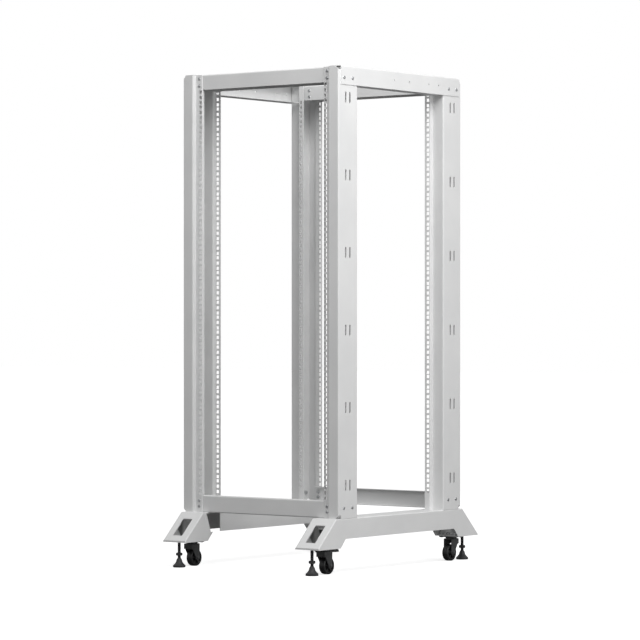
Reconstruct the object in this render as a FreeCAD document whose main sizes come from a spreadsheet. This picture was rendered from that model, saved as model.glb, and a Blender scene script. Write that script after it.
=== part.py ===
import FreeCAD, Part
import Sketcher
import math
import os

# Four post open frame rack, 27 units high, on swivel castors and levelling feet.
# X runs across the rack, -Y is the front, Z is up.
# The origin lies on the floor, in the middle of the rack.

doc = FreeCAD.newDocument("open_frame_rack")
sheet = doc.addObject("Spreadsheet::Sheet", "Sizes")

# Driving dimensions in millimetres: name, size
SIZES = (
    # rack standard
    ("unit_pitch", 44.45),
    ("unit_count", 27),
    ("holes_per_unit", 3),
    ("hole_first", 6.35),
    ("hole_step", 15.875),
    ("hole_side", 9.5),
    ("rack_opening", 450),
    ("rail_hole_spacing", 465.1),
    # frame
    ("frame_width", 577.2),
    ("frame_depth", 613.2),
    ("base_top_height", 158.7),
    ("lower_beam_height", 50.5),
    ("top_beam_height", 44),
    # posts
    ("post_wall", 2),
    ("post_bend", 2),
    ("post_web_depth", 91.2),
    ("proud_face_width", 37.6),
    ("rail_setback", 12.6),
    ("rail_lip_depth", 9),
    ("lip_end_gap", 2),
    ("inner_face_width", 38.6),
    ("strip_step", 13.4),
    ("strip_width", 20),
    ("strip_hole_spacing", 482),
    ("slot_height", 32),
    ("slot_width", 6.5),
    ("slot_spacing", 20),
    ("slot_centre_depth", 44.6),
    ("slot_first_height", 95),
    ("slot_unit_step", 5),
    ("slot_rows", 6),
    ("corner_cut_width", 12),
    ("corner_cut_height", 11),
    # cross beams
    ("beam_wall", 2),
    ("beam_overlap", 21),
    ("lower_beam_flange", 15),
    # top side beams
    ("side_beam_height", 54),
    ("side_beam_flange", 42),
    ("side_beam_end_setback", 11),
    ("side_beam_hole_spacing", 78),
    ("side_beam_hole", 7),
    ("side_beam_hole_drop", 27),
    ("small_hole", 4.5),
    ("small_hole_near", 138),
    ("small_hole_far", 188),
    # base rails
    ("base_width", 85.4),
    ("base_wall", 2.5),
    ("base_bend", 3),
    ("base_rail_height", 58.2),
    ("foot_length", 399),
    ("foot_top_length", 317),
    ("foot_lip_height", 5),
    ("foot_height", 74.5),
    ("foot_heel_length", 295),
    ("foot_arch_length", 271),
    ("inner_wall_length", 237),
    ("cheek_top_length", 302),
    ("cheek_waist_length", 281),
    ("window_width", 35.5),
    ("window_near", 335),
    ("window_far", 384),
    ("tab_height", 46),
    ("tab_length", 60),
    ("tab_wall", 3),
    # castors
    ("castor_inset", 42.3),
    ("castor_length", 317),
    ("castor_plate_width", 60),
    ("castor_plate_length", 44),
    ("castor_plate_wall", 3),
    ("race_diameter", 34),
    ("race_height", 4.5),
    ("race_gap", 0.1),
    ("crown_wall", 2.5),
    ("crown_front", 19),
    ("crown_back", 18),
    ("crown_round", 2.4),
    ("skirt_height", 51),
    ("kingpin_diameter", 8),
    ("castor_trail", 10),
    ("wheel_diameter", 50),
    ("wheel_width", 20),
    ("wheel_round", 3),
    ("hub_diameter", 18),
    ("hub_gap", 0.2),
    ("fork_gap", 2.5),
    ("fork_wall", 2.5),
    ("fork_end_reach", 8),
    ("fork_end_flat", 0.2),
    ("leg_top_front", 14),
    ("axle_diameter", 6),
    ("axle_head_diameter", 11),
    ("axle_head_height", 3.5),
    ("running_clearance", 0.05),
    # levelling feet
    ("foot_screw_length", 375.5),
    ("pad_diameter", 37),
    ("pad_rim_height", 6.5),
    ("pad_flare_diameter", 31),
    ("pad_flare_height", 10.2),
    ("pad_waist_diameter", 19.5),
    ("pad_waist_height", 16.3),
    ("pad_shoulder_diameter", 16.2),
    ("pad_shoulder_height", 22),
    ("pad_neck_height", 27),
    ("hex_bottom", 34.6),
    ("hex_height", 8.2),
    ("hex_across_corners", 19.6),
    ("screw_diameter", 10),
    ("screw_top", 90),
    ("weld_nut_corners", 19.6),
    ("weld_nut_height", 6.5),
)
for row, (name, size) in enumerate(SIZES, start=1):
    sheet.set("A%d" % row, name)
    sheet.set("B%d" % row, str(size))
    sheet.setAlias("B%d" % row, name)
doc.recompute()


def size(name):
    """The sheet's cell of this name, for use in an expression."""
    return "Sizes." + name


def value(expression):
    """The number that an expression has now."""
    return float(sheet.evalExpression(expression))


# Distances that several pieces share, each worked out from the sheet
HALF_WIDTH = "Sizes.frame_width / 2"
HALF_DEPTH = "Sizes.frame_depth / 2"
BASE_TOP = "Sizes.base_top_height"
UNITS_BOTTOM = "(Sizes.base_top_height + Sizes.lower_beam_height)"
UNITS_TOP = "(%s + Sizes.unit_count * Sizes.unit_pitch)" % UNITS_BOTTOM
FRAME_TOP = "(%s + Sizes.top_beam_height)" % UNITS_TOP
POST_HEIGHT = "(%s - %s)" % (FRAME_TOP, BASE_TOP)
RAIL_EDGE = "(Sizes.frame_width / 2 - Sizes.rack_opening / 2)"
RAIL_BACK = "(Sizes.rail_setback + Sizes.post_wall)"
STRIP_FACE = "(Sizes.post_web_depth + Sizes.strip_step)"
STRIP_EDGE = "(Sizes.inner_face_width + Sizes.strip_width)"
BASE_CENTRE = "(Sizes.frame_width / 2 - Sizes.base_width / 2)"
CASTOR_CENTRE = "(Sizes.frame_width / 2 - Sizes.castor_inset)"
AXLE_HEIGHT = "(Sizes.wheel_diameter / 2)"
PLATE_BOTTOM = "(Sizes.foot_height - Sizes.castor_plate_wall)"
CROWN_TOP = "(%s - Sizes.race_height - Sizes.race_gap)" % PLATE_BOTTOM
FORK_HALF_GAP = "(Sizes.wheel_width / 2 + Sizes.fork_gap)"
FORK_HALF_WIDTH = "(%s + Sizes.fork_wall)" % FORK_HALF_GAP


def new_body(name):
    """A sub-part of its own, named as its file will be."""
    body = doc.addObject("PartDesign::Body", name)
    body.Label = name
    return body


def place(body, x, y, z):
    """Put a body's own origin at a place in the rack."""
    body.setExpression("Placement.Base.x", x)
    body.setExpression("Placement.Base.y", y)
    body.setExpression("Placement.Base.z", z)


def origin_feature(body, role):
    """One of the body's own planes or axes."""
    return [item for item in body.Origin.OriginFeatures if item.Role == role][0]


def new_sketch(body, name, plane, offset=None):
    """A sketch on one of the body's own planes, moved along its normal where asked."""
    sketch = body.newObject("Sketcher::SketchObject", name)
    sketch.AttachmentSupport = [(origin_feature(body, plane), "")]
    sketch.MapMode = "FlatFace"
    if offset:
        sketch.setExpression("AttachmentOffset.Base.z", offset)
    return sketch


def hold(sketch, direction, geometry, distance):
    """Hold a line's first point at a distance from the sketch's origin."""
    if distance == "0":
        axis = -2 if direction == "DistanceX" else -1
        sketch.addConstraint(Sketcher.Constraint("PointOnObject", geometry, 1, axis))
        return
    held = Sketcher.Constraint(direction, -1, 1, geometry, 1, value(distance))
    number = sketch.addConstraint(held)
    sketch.setExpression("Constraints[%d]" % number, distance)


def outline(sketch, corners):
    """A closed outline of straight lines, with each corner held by its two distances."""
    points = [FreeCAD.Vector(value(x), value(y), 0) for x, y in corners]
    first = sketch.GeometryCount
    total = len(points)
    for step in range(total):
        sketch.addGeometry(Part.LineSegment(points[step], points[(step + 1) % total]), False)
    for step in range(total):
        after = first + (step + 1) % total
        sketch.addConstraint(Sketcher.Constraint("Coincident", first + step, 2, after, 1))
    for step, (x, y) in enumerate(corners):
        hold(sketch, "DistanceX", first + step, x)
        hold(sketch, "DistanceY", first + step, y)


def pad(body, name, sketch, length, both_ways=False):
    """A sketch drawn out along its normal, or half of the length to each side of it."""
    feature = body.newObject("PartDesign::Pad", name)
    feature.Profile = sketch
    feature.SideType = "Symmetric" if both_ways else "One side"
    feature.setExpression("Length", length)
    body.Tip = feature
    doc.recompute()
    return feature


def pocket(body, name, sketch, length):
    """A cut that reaches half of its length to each side of its sketch."""
    feature = body.newObject("PartDesign::Pocket", name)
    feature.Profile = sketch
    feature.SideType = "Symmetric"
    feature.Refine = False
    feature.setExpression("Length", length)
    body.Tip = feature
    doc.recompute()
    return feature


def bound(feature, **expressions):
    """Tie properties of a feature to expressions."""
    for name, expression in expressions.items():
        feature.setExpression(name, expression)


# A cylinder lies along X or Y after a quarter turn from Z
QUARTER_TURN = 90
LYING = {"x": FreeCAD.Rotation(FreeCAD.Vector(0, 1, 0), QUARTER_TURN),
         "y": FreeCAD.Rotation(FreeCAD.Vector(1, 0, 0), -QUARTER_TURN)}


def box(body, name, kind, corner, lengths):
    """An added or cut block, from its lowest corner and its three lengths."""
    feature = body.newObject("PartDesign::%sBox" % kind, name)
    bound(feature, Length=lengths[0], Width=lengths[1], Height=lengths[2])
    for axis, distance in zip("xyz", corner):
        feature.setExpression("Placement.Base." + axis, distance)
    body.Tip = feature
    return feature


def cylinder(body, name, kind, centre, diameter, length, axis="z"):
    """An added or cut cylinder, from the centre of its first end."""
    feature = body.newObject("PartDesign::%sCylinder" % kind, name)
    bound(feature, Radius="%s / 2" % diameter, Height=length)
    if axis in LYING:
        feature.Placement.Rotation = LYING[axis]
    for along, distance in zip("xyz", centre):
        feature.setExpression("Placement.Base." + along, distance)
    body.Tip = feature
    return feature


def repeat_up(body, name, originals, pitch, count):
    """Repeat cuts upwards at an even pitch."""
    pattern = body.newObject("PartDesign::LinearPattern", name)
    pattern.Originals = originals
    pattern.Direction = (origin_feature(body, "Z_Axis"), [""])
    pattern.Mode = "Spacing"
    pattern.Refine = False
    bound(pattern, Offset=pitch, Occurrences=count)
    body.Tip = pattern
    doc.recompute()
    return pattern


def span(sign, near, far):
    """The lowest end of a stretch that lies on the side of a sign, and its length."""
    low = near if sign > 0 else "-(%s)" % far
    return low, "(%s) - (%s)" % (far, near)


# Two places or lengths closer than this, in millimetres, are the same
SAME = 1e-4


def edges_on(feature, corners, along):
    """The names of the straight edges that run along an axis through the given corners."""
    across = ["xyz".index(axis) for axis in "xyz" if axis != along]
    spots = [tuple(value(distance) for distance in corner) for corner in corners]
    names = []
    for number, edge in enumerate(feature.Shape.Edges, start=1):
        ends = [vertex.Point for vertex in edge.Vertexes]
        if len(ends) != 2:
            continue
        drift = max(abs(ends[0][axis] - ends[1][axis]) for axis in across)
        here = [ends[0][axis] for axis in across]
        if drift < SAME and any(abs(here[0] - u) + abs(here[1] - v) < SAME for u, v in spots):
            names.append("Edge%d" % number)
    return names


def bend(body, name, feature, names, radius):
    """Round the folds of a sheet, given the names of their edges."""
    fillet = body.newObject("PartDesign::Fillet", name)
    fillet.Base = (feature, names)
    fillet.setExpression("Radius", radius)
    body.Tip = fillet
    doc.recompute()
    return fillet


def bend_both(body, name, feature, outside, inside, along):
    """Round both faces of the folds whose corners run along an axis."""
    rounded = bend(body, name + "_outer_bends", feature, edges_on(feature, outside, along),
                   "Sizes.post_bend + Sizes.post_wall")
    return bend(body, name + "_inner_bends", rounded, edges_on(rounded, inside, along),
                size("post_bend"))


# Posts
# A post is one folded sheet. Its web faces the side of the rack. One flange holds the
# mounting rail, set back behind a proud face, and the other a strip of the same holes.

def post_corners():
    """Outer and inner corners of the folded sheet, inwards from the post's outer corner."""
    wall = size("post_wall")
    proud = size("proud_face_width")
    setback = size("rail_setback")
    lip_end = "(%s + %s)" % (setback, size("rail_lip_depth"))
    face = size("post_web_depth")
    flat = size("inner_face_width")
    outer = [(RAIL_EDGE, lip_end), (RAIL_EDGE, setback), (proud, setback), (proud, "0"),
             ("0", "0"), ("0", face), (flat, face), (flat, STRIP_FACE),
             (STRIP_EDGE, STRIP_FACE)]
    step_back = "(%s + %s)" % (flat, wall)
    strip_back = "(%s - %s)" % (STRIP_FACE, wall)
    face_back = "(%s - %s)" % (face, wall)
    proud_back = "(%s - %s)" % (proud, wall)
    lip_back = "(%s - %s)" % (RAIL_EDGE, wall)
    inner = [(STRIP_EDGE, strip_back), (step_back, strip_back), (step_back, face_back),
             (wall, face_back), (wall, wall), (proud_back, wall), (proud_back, RAIL_BACK),
             (lip_back, RAIL_BACK), (lip_back, lip_end)]
    return outer, inner


def mirrored(corner, side, end):
    """A corner of the post in the post's own frame, for its side and end of the rack."""
    across, along = corner
    x = across if across == "0" else "%d * %s" % (-side, across)
    y = along if along == "0" else "%d * %s" % (-end, along)
    return x, y


def post(name, side, end):
    """One post, drawn from the rack's corner and cut as its flat sheet is."""
    body = new_body(name)
    place(body, "%d * %s" % (side, HALF_WIDTH), "%d * %s" % (end, HALF_DEPTH), BASE_TOP)
    outer, inner = post_corners()
    outer = [mirrored(corner, side, end) for corner in outer]
    inner = [mirrored(corner, side, end) for corner in inner]
    section = new_sketch(body, name + "_section", "XY_Plane")
    outline(section, outer + inner)
    upright = pad(body, name + "_sheet", section, POST_HEIGHT)
    outside_of_fold = [outer[1], inner[6], outer[3], outer[4], outer[5], inner[2], outer[7]]
    inside_of_fold = [inner[7], outer[2], inner[5], inner[4], inner[3], outer[6], inner[1]]
    bend_both(body, name, upright, outside_of_fold, inside_of_fold, "z")
    cut_lip_ends(body, name, side, end)
    cut_web_top(body, name, side, end)
    cut_corners(body, name, side, end)
    cut_slots(body, name, side, end)
    rail = cut_unit_holes(body, name + "_rail", side, end, "Sizes.rail_hole_spacing", RAIL_BACK)
    strip = cut_unit_holes(body, name + "_strip", side, end, "Sizes.strip_hole_spacing",
                           STRIP_FACE)
    repeat_up(body, name + "_holes", [rail, strip], size("unit_pitch"), size("unit_count"))
    return body


def cut_lip_ends(body, name, side, end):
    """The rail's lip stops short of the cross beams, which are bolted behind the rail."""
    x, across = span(-side, "(%s - Sizes.post_wall - Sizes.post_bend)" % RAIL_EDGE, RAIL_EDGE)
    far = "(%s + Sizes.rail_lip_depth)" % RAIL_BACK
    y, along = span(-end, RAIL_BACK, far)
    low = "(Sizes.lower_beam_height + Sizes.lip_end_gap)"
    high = "(Sizes.top_beam_height + Sizes.lip_end_gap)"
    box(body, name + "_lip_foot", "Subtractive", (x, y, "0"), (across, along, low))
    top = "%s - %s" % (POST_HEIGHT, high)
    box(body, name + "_lip_head", "Subtractive", (x, y, top), (across, along, high))


def cut_web_top(body, name, side, end):
    """The web ends lower than the flanges, to clear the bend of the side beam above it."""
    x, across = span(-side, "0", size("post_wall"))
    y, along = span(-end, "0", size("post_web_depth"))
    low = "%s - Sizes.post_bend" % POST_HEIGHT
    box(body, name + "_web_top", "Subtractive", (x, y, low), (across, along, "Sizes.post_bend"))


def cut_slots(body, name, side, end):
    """Pairs of upright tie slots in the web, one pair every few units."""
    pair = new_sketch(body, name + "_slot_pair", "YZ_Plane")
    straight = "(Sizes.slot_height - Sizes.slot_width)"
    low = "(Sizes.slot_first_height - %s / 2)" % straight
    high = "(%s + %s)" % (low, straight)
    for half in ("-", "+"):
        middle = "(Sizes.slot_centre_depth %s Sizes.slot_spacing / 2)" % half
        near = "%d * (%s - Sizes.slot_width / 2)" % (-end, middle)
        far = "%d * (%s + Sizes.slot_width / 2)" % (-end, middle)
        round_slot(pair, near, far, low, high)
    cut = pocket(body, name + "_first_slots", pair, "2 * Sizes.post_wall")
    step = "Sizes.slot_unit_step * Sizes.unit_pitch"
    repeat_up(body, name + "_slots", [cut], step, size("slot_rows"))


def round_slot(sketch, near, far, low, high):
    """An upright slot with round ends, held by its two sides and the two arc centres."""
    sides = (value(near), value(far))
    left, right = min(sides), max(sides)
    middle = (left + right) / 2
    radius = (right - left) / 2
    bottom, top = value(low), value(high)
    normal = FreeCAD.Vector(0, 0, 1)
    first = sketch.GeometryCount
    arc_top = Part.Circle(FreeCAD.Vector(middle, top, 0), normal, radius)
    arc_low = Part.Circle(FreeCAD.Vector(middle, bottom, 0), normal, radius)
    sketch.addGeometry(Part.ArcOfCircle(arc_top, 0, math.pi), False)
    sketch.addGeometry(Part.LineSegment(FreeCAD.Vector(left, top, 0),
                                        FreeCAD.Vector(left, bottom, 0)), False)
    sketch.addGeometry(Part.ArcOfCircle(arc_low, math.pi, 2 * math.pi), False)
    sketch.addGeometry(Part.LineSegment(FreeCAD.Vector(right, bottom, 0),
                                        FreeCAD.Vector(right, top, 0)), False)
    for one, point, other, end_point in ((0, 2, 1, 1), (1, 2, 2, 1), (2, 2, 3, 1), (3, 2, 0, 1)):
        sketch.addConstraint(Sketcher.Constraint("Tangent", first + one, point,
                                                 first + other, end_point))
    nearer = near if value(near) < value(far) else far
    hold(sketch, "DistanceX", first + 1, nearer)
    hold(sketch, "DistanceX", first + 3, far if nearer == near else near)
    hold(sketch, "DistanceY", first + 1, high)
    hold(sketch, "DistanceY", first + 3, low)


def cut_unit_holes(body, name, side, end, spacing, face):
    """The three square holes of the lowest rack unit, cut about a face at this depth."""
    across = "%d * (%s - %s / 2)" % (-side, HALF_WIDTH, spacing)
    half = "Sizes.hole_side / 2"
    unit = new_sketch(body, name + "_unit", "XZ_Plane", "%d * %s" % (end, face))
    for number in range(int(value(size("holes_per_unit")))):
        height = "Sizes.lower_beam_height + Sizes.hole_first + %d * Sizes.hole_step" % number
        left, right = "%s - %s" % (across, half), "%s + %s" % (across, half)
        bottom, top = "%s - %s" % (height, half), "%s + %s" % (height, half)
        outline(unit, [(left, bottom), (right, bottom), (right, top), (left, top)])
    return pocket(body, name + "_first_holes", unit, "2 * Sizes.post_wall")


def cut_corners(body, name, side, end):
    """The sheet's outer corners are cut away at the top and at the foot of the fold."""
    width = size("corner_cut_width")
    height = size("corner_cut_height")
    reach = "%d * %s" % (-side, width)
    rise = "%s - %s" % (POST_HEIGHT, height)
    sketch = new_sketch(body, name + "_corner_cuts", "XZ_Plane")
    outline(sketch, [("0", "0"), (reach, "0"), ("0", height)])
    outline(sketch, [("0", rise), (reach, POST_HEIGHT), ("0", POST_HEIGHT)])
    pocket(body, name + "_corners", sketch, "2 * " + width)


# Cross beams
# The beams between the posts are folded channels, bolted behind the mounting rails.

BEAM_HALF_LENGTH = "(Sizes.rack_opening / 2 + Sizes.beam_overlap)"
BEAM_FACE = "(%s - %s)" % (HALF_DEPTH, RAIL_BACK)


def turned_to(sign, corners):
    """Corners whose first distance is taken to the side of a sign."""
    return [(u if u == "0" else "%d * %s" % (sign, u), v) for u, v in corners]


def cross_beam(name, end, height, corners, outside, inside):
    """A beam of constant section, drawn from its face towards the middle of the rack."""
    body = new_body(name)
    place(body, "0", "%d * %s" % (end, BEAM_FACE), height)
    section = new_sketch(body, name + "_section", "YZ_Plane")
    outline(section, turned_to(-end, corners))
    channel = pad(body, name + "_channel", section, "2 * " + BEAM_HALF_LENGTH, both_ways=True)
    bend_both(body, name, channel, turned_to(-end, outside), turned_to(-end, inside), "x")
    return body


def top_beam(name, end):
    """A channel open downwards, as deep as the posts behind the rail."""
    wall = size("beam_wall")
    depth = "(Sizes.post_web_depth - %s)" % RAIL_BACK
    back = "(%s - %s)" % (depth, wall)
    height = size("top_beam_height")
    under = "(%s - %s)" % (height, wall)
    corners = [("0", "0"), ("0", height), (depth, height), (depth, "0"), (back, "0"),
               (back, under), (wall, under), (wall, "0")]
    return cross_beam(name, end, UNITS_TOP, corners, corners[1:3], corners[5:7])


def lower_beam(name, end):
    """A channel open towards the middle, with two short flanges."""
    wall = size("beam_wall")
    flange = size("lower_beam_flange")
    height = size("lower_beam_height")
    under = "(%s - %s)" % (height, wall)
    corners = [("0", "0"), ("0", height), (flange, height), (flange, under), (wall, under),
               (wall, wall), (flange, wall), (flange, "0")]
    return cross_beam(name, end, BASE_TOP, corners, corners[0:2], corners[4:6])


def top_side_beam(name, side):
    """A channel that lies on the posts' outer webs and tops, open towards the rack."""
    body = new_body(name)
    place(body, "%d * %s" % (side, HALF_WIDTH), "0", FRAME_TOP)
    wall = size("beam_wall")
    flange = "(Sizes.side_beam_flange - %s)" % wall
    drop = "(%s - Sizes.side_beam_height)" % wall
    floor = "(%s + %s)" % (drop, wall)
    corners = [("-1 * " + wall, wall), (flange, wall), (flange, "0"), ("0", "0"),
               ("0", drop), ("-1 * " + wall, drop)]
    section = new_sketch(body, name + "_section", "XZ_Plane")
    outline(section, turned_to(-side, corners))
    length = "(Sizes.frame_depth - 2 * Sizes.side_beam_end_setback)"
    angle = pad(body, name + "_angle", section, length, both_ways=True)
    bend_both(body, name, angle, turned_to(-side, corners[0:1]), turned_to(-side, corners[3:4]),
              "y")
    between_posts = "(Sizes.frame_depth - 2 * %s)" % STRIP_FACE
    x, across = span(-side, "0", flange)
    corner = (x, "-%s / 2" % between_posts, drop)
    box(body, name + "_lower_flange", "Additive", corner, (across, between_posts, wall))
    height = "%s - Sizes.side_beam_hole_drop" % wall
    x, across = span(-side, "-1 * " + wall, "0")
    half = "Sizes.side_beam_hole_spacing / 2"
    for hole, y, diameter in (("hole_front", "-" + half, size("side_beam_hole")),
                              ("hole_rear", half, size("side_beam_hole")),
                              ("small_hole_near", size("small_hole_near"), size("small_hole")),
                              ("small_hole_far", size("small_hole_far"), size("small_hole"))):
        cylinder(body, "%s_%s" % (name, hole), "Subtractive", (x, y, height), diameter, across,
                 "x")
    doc.recompute()
    return body


# Base rails
# A base rail is one folded sheet, with a foot at each end that slopes down and outwards.
# A window in the slope gives access to the levelling screw.

SHEET_UNDERSIDE = "(Sizes.base_top_height - Sizes.base_wall)"
FOOT_FLOOR = "(Sizes.foot_height + Sizes.base_wall)"
FOOT_LIP = "(Sizes.foot_height + Sizes.foot_lip_height)"
RAIL_UNDERSIDE = "(Sizes.base_top_height - Sizes.base_rail_height)"


def top_edges(block):
    """The names of the edges that reach the top: around it and down the feet's slopes."""
    top = block.Shape.BoundBox.ZMax - SAME
    names = []
    for number, edge in enumerate(block.Shape.Edges, start=1):
        if max(vertex.Point.z for vertex in edge.Vertexes) > top:
            names.append("Edge%d" % number)
    return names


def there_and_back(upper, lower):
    """A closed row of corners, from its rear half: the front half is its mirror image."""
    front_upper = [("-1 * " + y, z) for y, z in reversed(upper)]
    front_lower = [("-1 * " + y, z) for y, z in reversed(lower)]
    return upper + front_upper + front_lower + lower


def rail_block(body, name):
    """The rail's outer form, with its long folds and the bends above its feet rounded."""
    tip = size("foot_length")
    sole = size("foot_height")
    upper = [(tip, sole), (tip, FOOT_LIP), (size("foot_top_length"), BASE_TOP)]
    lower = [(size("foot_arch_length"), RAIL_UNDERSIDE), (size("foot_heel_length"), sole)]
    section = new_sketch(body, name + "_silhouette", "YZ_Plane")
    outline(section, there_and_back(upper, lower))
    block = pad(body, name + "_block", section, size("base_width"), both_ways=True)
    bend(body, name + "_bends", block, top_edges(block), size("base_bend"))


def cut_rail_hollow(body, name):
    """The space between the two side walls, under the top and over the foot's floor."""
    wall = size("base_wall")
    tip = size("foot_length")
    crest = size("foot_top_length")
    sole = size("foot_height")
    slope = "(%s - %s) / (%s - %s)" % (tip, crest, BASE_TOP, FOOT_LIP)
    wall_on_slope = "(%s * sqrt(1 + pow(%s; 2)))" % (wall, slope)
    tip_inside = "(%s - %s)" % (tip, wall_on_slope)
    crest_inside = "(%s - %s)" % (crest, wall_on_slope)
    heel = size("foot_heel_length")
    upper = [(tip_inside, FOOT_FLOOR), (tip_inside, FOOT_LIP), (crest_inside, SHEET_UNDERSIDE)]
    lower = [(size("foot_arch_length"), sole), (heel, sole), (heel, FOOT_FLOOR)]
    cavity = new_sketch(body, name + "_cavity", "YZ_Plane")
    outline(cavity, there_and_back(upper, lower))
    pocket(body, name + "_hollow", cavity, "Sizes.base_width - 2 * %s" % wall)


def cut_inner_wall(body, name, side):
    """The wall that faces the rack's middle stops short of the cheek of each foot."""
    wall = size("base_wall")
    opening = new_sketch(body, name + "_access", "YZ_Plane",
                         "%d * (Sizes.base_width - %s) / 2" % (-side, wall))
    near = size("inner_wall_length")
    gap = [(near, SHEET_UNDERSIDE), (size("cheek_top_length"), SHEET_UNDERSIDE),
           (size("cheek_waist_length"), RAIL_UNDERSIDE), (near, RAIL_UNDERSIDE)]
    outline(opening, gap)
    outline(opening, [("-1 * " + y, z) for y, z in gap])
    pocket(body, name + "_access_gaps", opening, wall)


def foot_fittings(body, name, side, end):
    """A foot's window, its weld nut and screw bore, and the tab that carries the post."""
    centre_shift = "%d * (Sizes.castor_inset - Sizes.base_width / 2)" % -side
    y, along = span(end, size("window_near"), size("window_far"))
    corner = ("%s - Sizes.window_width / 2" % centre_shift, y, FOOT_FLOOR)
    box(body, name + "_window", "Subtractive", corner,
        ("Sizes.window_width", along, "%s - %s" % (BASE_TOP, FOOT_FLOOR)))
    screw_place = "%d * Sizes.foot_screw_length" % end
    nut = body.newObject("PartDesign::AdditivePrism", name + "_weld_nut")
    bound(nut, Circumradius="Sizes.weld_nut_corners / 2", Height="Sizes.weld_nut_height")
    for axis, distance in zip("xyz", (centre_shift, screw_place, FOOT_FLOOR)):
        nut.setExpression("Placement.Base." + axis, distance)
    bore = "(Sizes.screw_diameter + 2 * Sizes.running_clearance)"
    cylinder(body, name + "_screw_bore", "Subtractive",
             (centre_shift, screw_place, size("foot_height")), bore,
             "Sizes.base_wall + Sizes.weld_nut_height")
    tab_edge = "(Sizes.base_width / 2 - Sizes.post_wall)"
    x, across = span(side, "%s - Sizes.tab_wall" % tab_edge, tab_edge)
    tab_near = "(%s - Sizes.post_web_depth / 2 - Sizes.tab_length / 2)" % HALF_DEPTH
    y, along = span(end, tab_near, "(%s + Sizes.tab_length)" % tab_near)
    box(body, name + "_post_tab", "Additive", (x, y, BASE_TOP),
        (across, along, "Sizes.tab_height"))


def base_rail(name, side):
    """One base rail, drawn about the middle of its own width."""
    body = new_body(name)
    place(body, "%d * %s" % (side, BASE_CENTRE), "0", "0")
    rail_block(body, name)
    cut_rail_hollow(body, name)
    cut_inner_wall(body, name, side)
    foot_fittings(body, name + "_front", side, -1)
    foot_fittings(body, name + "_rear", side, 1)
    doc.recompute()
    return body


# Castors
# A castor is a bolted plate, a swivelling fork, an axle and a wheel.

FULL_TURN = 360


def castor_plate(name, side, end):
    """The bolted plate with the ball race under it, bored for the kingpin."""
    body = new_body(name)
    place(body, "%d * %s" % (side, CASTOR_CENTRE), "%d * Sizes.castor_length" % end, PLATE_BOTTOM)
    width = size("castor_plate_width")
    length = size("castor_plate_length")
    wall = size("castor_plate_wall")
    corner = ("-%s / 2" % width, "-%s / 2" % length, "0")
    box(body, name + "_sheet", "Additive", corner, (width, length, wall))
    doc.recompute()
    cylinder(body, name + "_race", "Additive", ("0", "0", "-Sizes.race_height"),
             size("race_diameter"), size("race_height"))
    bore = "(Sizes.kingpin_diameter + 2 * Sizes.running_clearance)"
    cylinder(body, name + "_kingpin_bore", "Subtractive", ("0", "0", "-Sizes.race_height"),
             bore, "Sizes.race_height + %s" % wall)
    doc.recompute()
    return body


def castor_fork(name, side, end):
    """The crown with its front skirt, two legs and the kingpin, about the swivel axis."""
    body = new_body(name)
    place(body, "%d * %s" % (side, CASTOR_CENTRE), "%d * Sizes.castor_length" % end, "0")
    front = "%d * Sizes.crown_front" % end
    back = "%d * Sizes.crown_back" % -end
    axle = "(%d * Sizes.castor_trail)" % -end
    reach = size("fork_end_reach")
    low = "(%s - %s)" % (AXLE_HEIGHT, reach)
    leg_back = "(%s - %d * %s)" % (axle, end, reach)
    leg_front = "(%s + %d * %s)" % (axle, end, reach)
    skirt = size("skirt_height")
    corners = [(back, CROWN_TOP), (front, CROWN_TOP), (front, skirt),
               ("%d * Sizes.leg_top_front" % end, skirt), (leg_front, AXLE_HEIGHT),
               (leg_front, low), (leg_back, low), (leg_back, AXLE_HEIGHT)]
    profile = new_sketch(body, name + "_profile", "YZ_Plane")
    outline(profile, corners)
    block = pad(body, name + "_block", profile, "2 * " + FORK_HALF_WIDTH, both_ways=True)
    leg_ends = edges_on(block, [corners[5], corners[6]], "x")
    legs = bend(body, name + "_leg_ends", block, leg_ends,
                "%s - Sizes.fork_end_flat / 2" % reach)
    sides = edges_on(legs, [(FORK_HALF_WIDTH, CROWN_TOP), ("-" + FORK_HALF_WIDTH, CROWN_TOP)],
                     "y")
    crown = bend(body, name + "_crown_sides", legs, sides, size("crown_round"))
    crown_floor = "(%s - Sizes.crown_wall)" % CROWN_TOP
    gap_length = "Sizes.crown_front + Sizes.crown_back - Sizes.crown_wall"
    lowest = back if end > 0 else "-(Sizes.crown_front - Sizes.crown_wall)"
    box(body, name + "_wheel_gap", "Subtractive", ("-" + FORK_HALF_GAP, lowest, low),
        ("2 * " + FORK_HALF_GAP, gap_length, "%s - %s" % (crown_floor, low)))
    cylinder(body, name + "_kingpin", "Additive", ("0", "0", CROWN_TOP),
             size("kingpin_diameter"), "Sizes.foot_height - Sizes.race_gap - %s" % CROWN_TOP)
    cylinder(body, name + "_axle_bore", "Subtractive", ("-" + FORK_HALF_WIDTH, axle, AXLE_HEIGHT),
             size("axle_diameter"), "2 * " + FORK_HALF_WIDTH, "x")
    doc.recompute()
    return body


def castor_axle(name, side, end):
    """The axle between the fork's legs, with its head on one side and its nut on the other."""
    body = new_body(name)
    axle_place = "%d * (Sizes.castor_length - Sizes.castor_trail)" % end
    place(body, "%d * %s" % (side, CASTOR_CENTRE), axle_place, AXLE_HEIGHT)
    cylinder(body, name + "_shank", "Additive", ("-" + FORK_HALF_WIDTH, "0", "0"),
             size("axle_diameter"), "2 * " + FORK_HALF_WIDTH, "x")
    doc.recompute()
    cylinder(body, name + "_head", "Additive", (FORK_HALF_WIDTH, "0", "0"),
             size("axle_head_diameter"), size("axle_head_height"), "x")
    far_side = "-(%s + Sizes.axle_head_height)" % FORK_HALF_WIDTH
    cylinder(body, name + "_nut", "Additive", (far_side, "0", "0"),
             size("axle_head_diameter"), size("axle_head_height"), "x")
    doc.recompute()
    return body


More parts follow.
